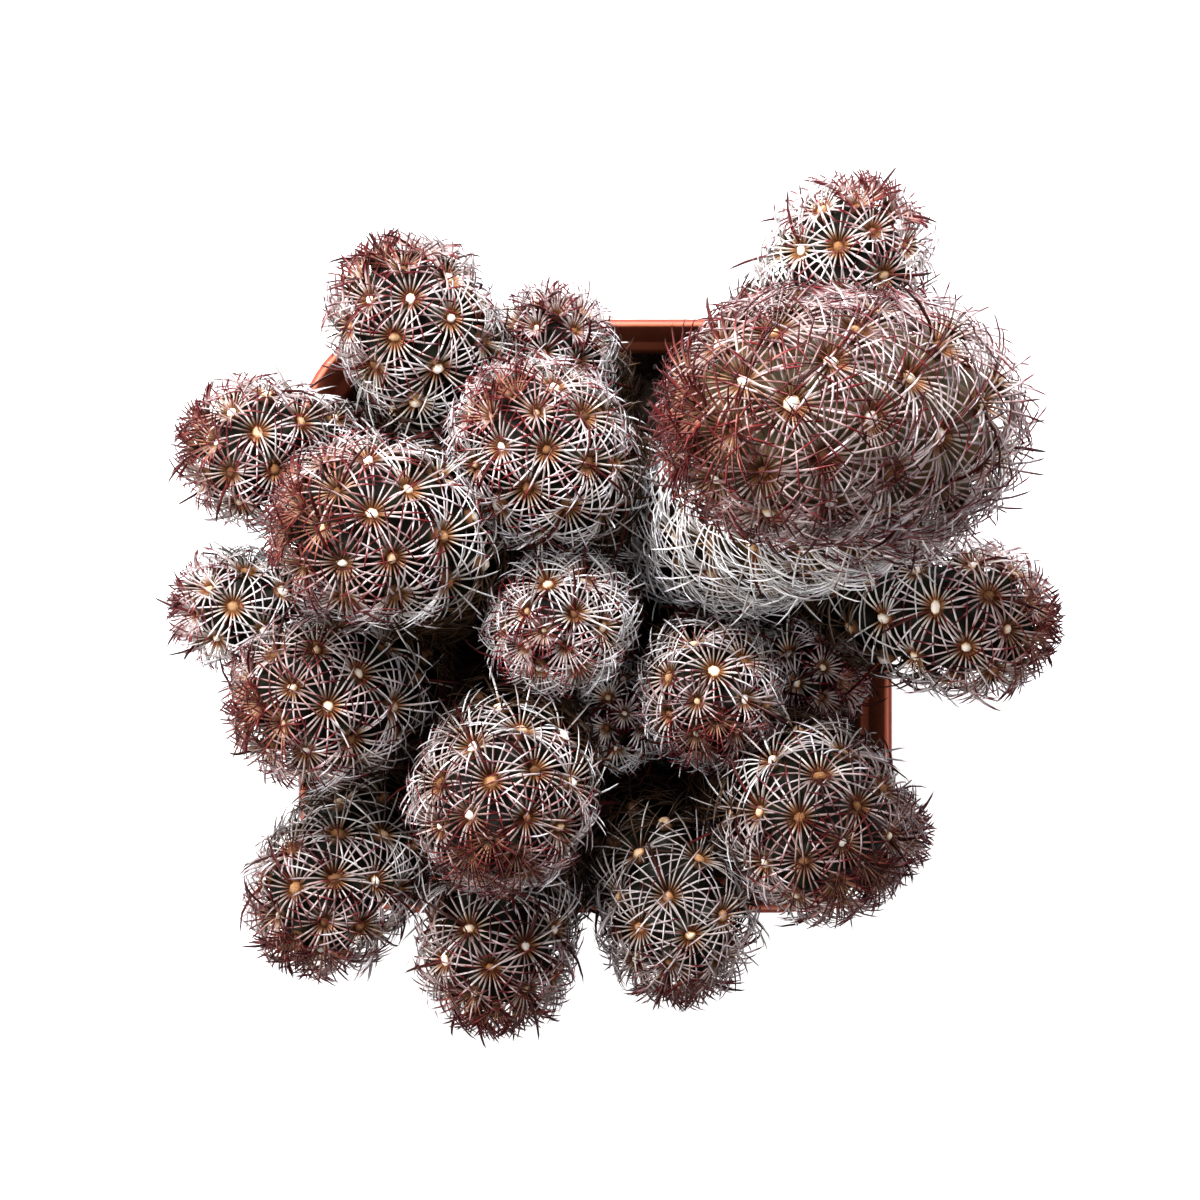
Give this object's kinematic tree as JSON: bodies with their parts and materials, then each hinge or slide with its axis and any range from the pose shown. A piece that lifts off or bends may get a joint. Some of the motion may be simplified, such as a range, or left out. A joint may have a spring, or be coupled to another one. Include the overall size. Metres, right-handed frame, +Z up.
{
  "type": "potted ladyfinger cactus",
  "caption": "Clump of spiny finger-shaped cactus stems, one taller and thicker than the rest, standing in soil in a square tapered plastic pot with rounded corners.",
  "frame": {"origin": "centre of the pot's underside, on the surface that it stands on", "axes": "+Z up, +X and +Y along the square pot's sides, with the tall stem in the +X +Y corner"},
  "size_m": [0.1255, 0.1204, 0.1847],
  "materials": {
    "pot_plastic": "matte",
    "soil": "matte",
    "stem_skin": "matte"
  },
  "bodies": {
    "root": {"pot": "pot_plastic", "soil": "soil", "stem_tall": "stem_skin", "stem_02": "stem_skin", "stem_03": "stem_skin", "stem_04": "stem_skin", "stem_05": "stem_skin", "stem_06": "stem_skin", "stem_07": "stem_skin", "stem_08": "stem_skin", "stem_09": "stem_skin", "stem_10": "stem_skin", "stem_11": "stem_skin", "stem_12": "stem_skin", "stem_13": "stem_skin", "stem_14": "stem_skin", "stem_15": "stem_skin", "stem_16": "stem_skin", "stem_17": "stem_skin", "stem_18": "stem_skin", "stem_19": "stem_skin", "stem_20": "stem_skin"}
  },
  "joints": []
}
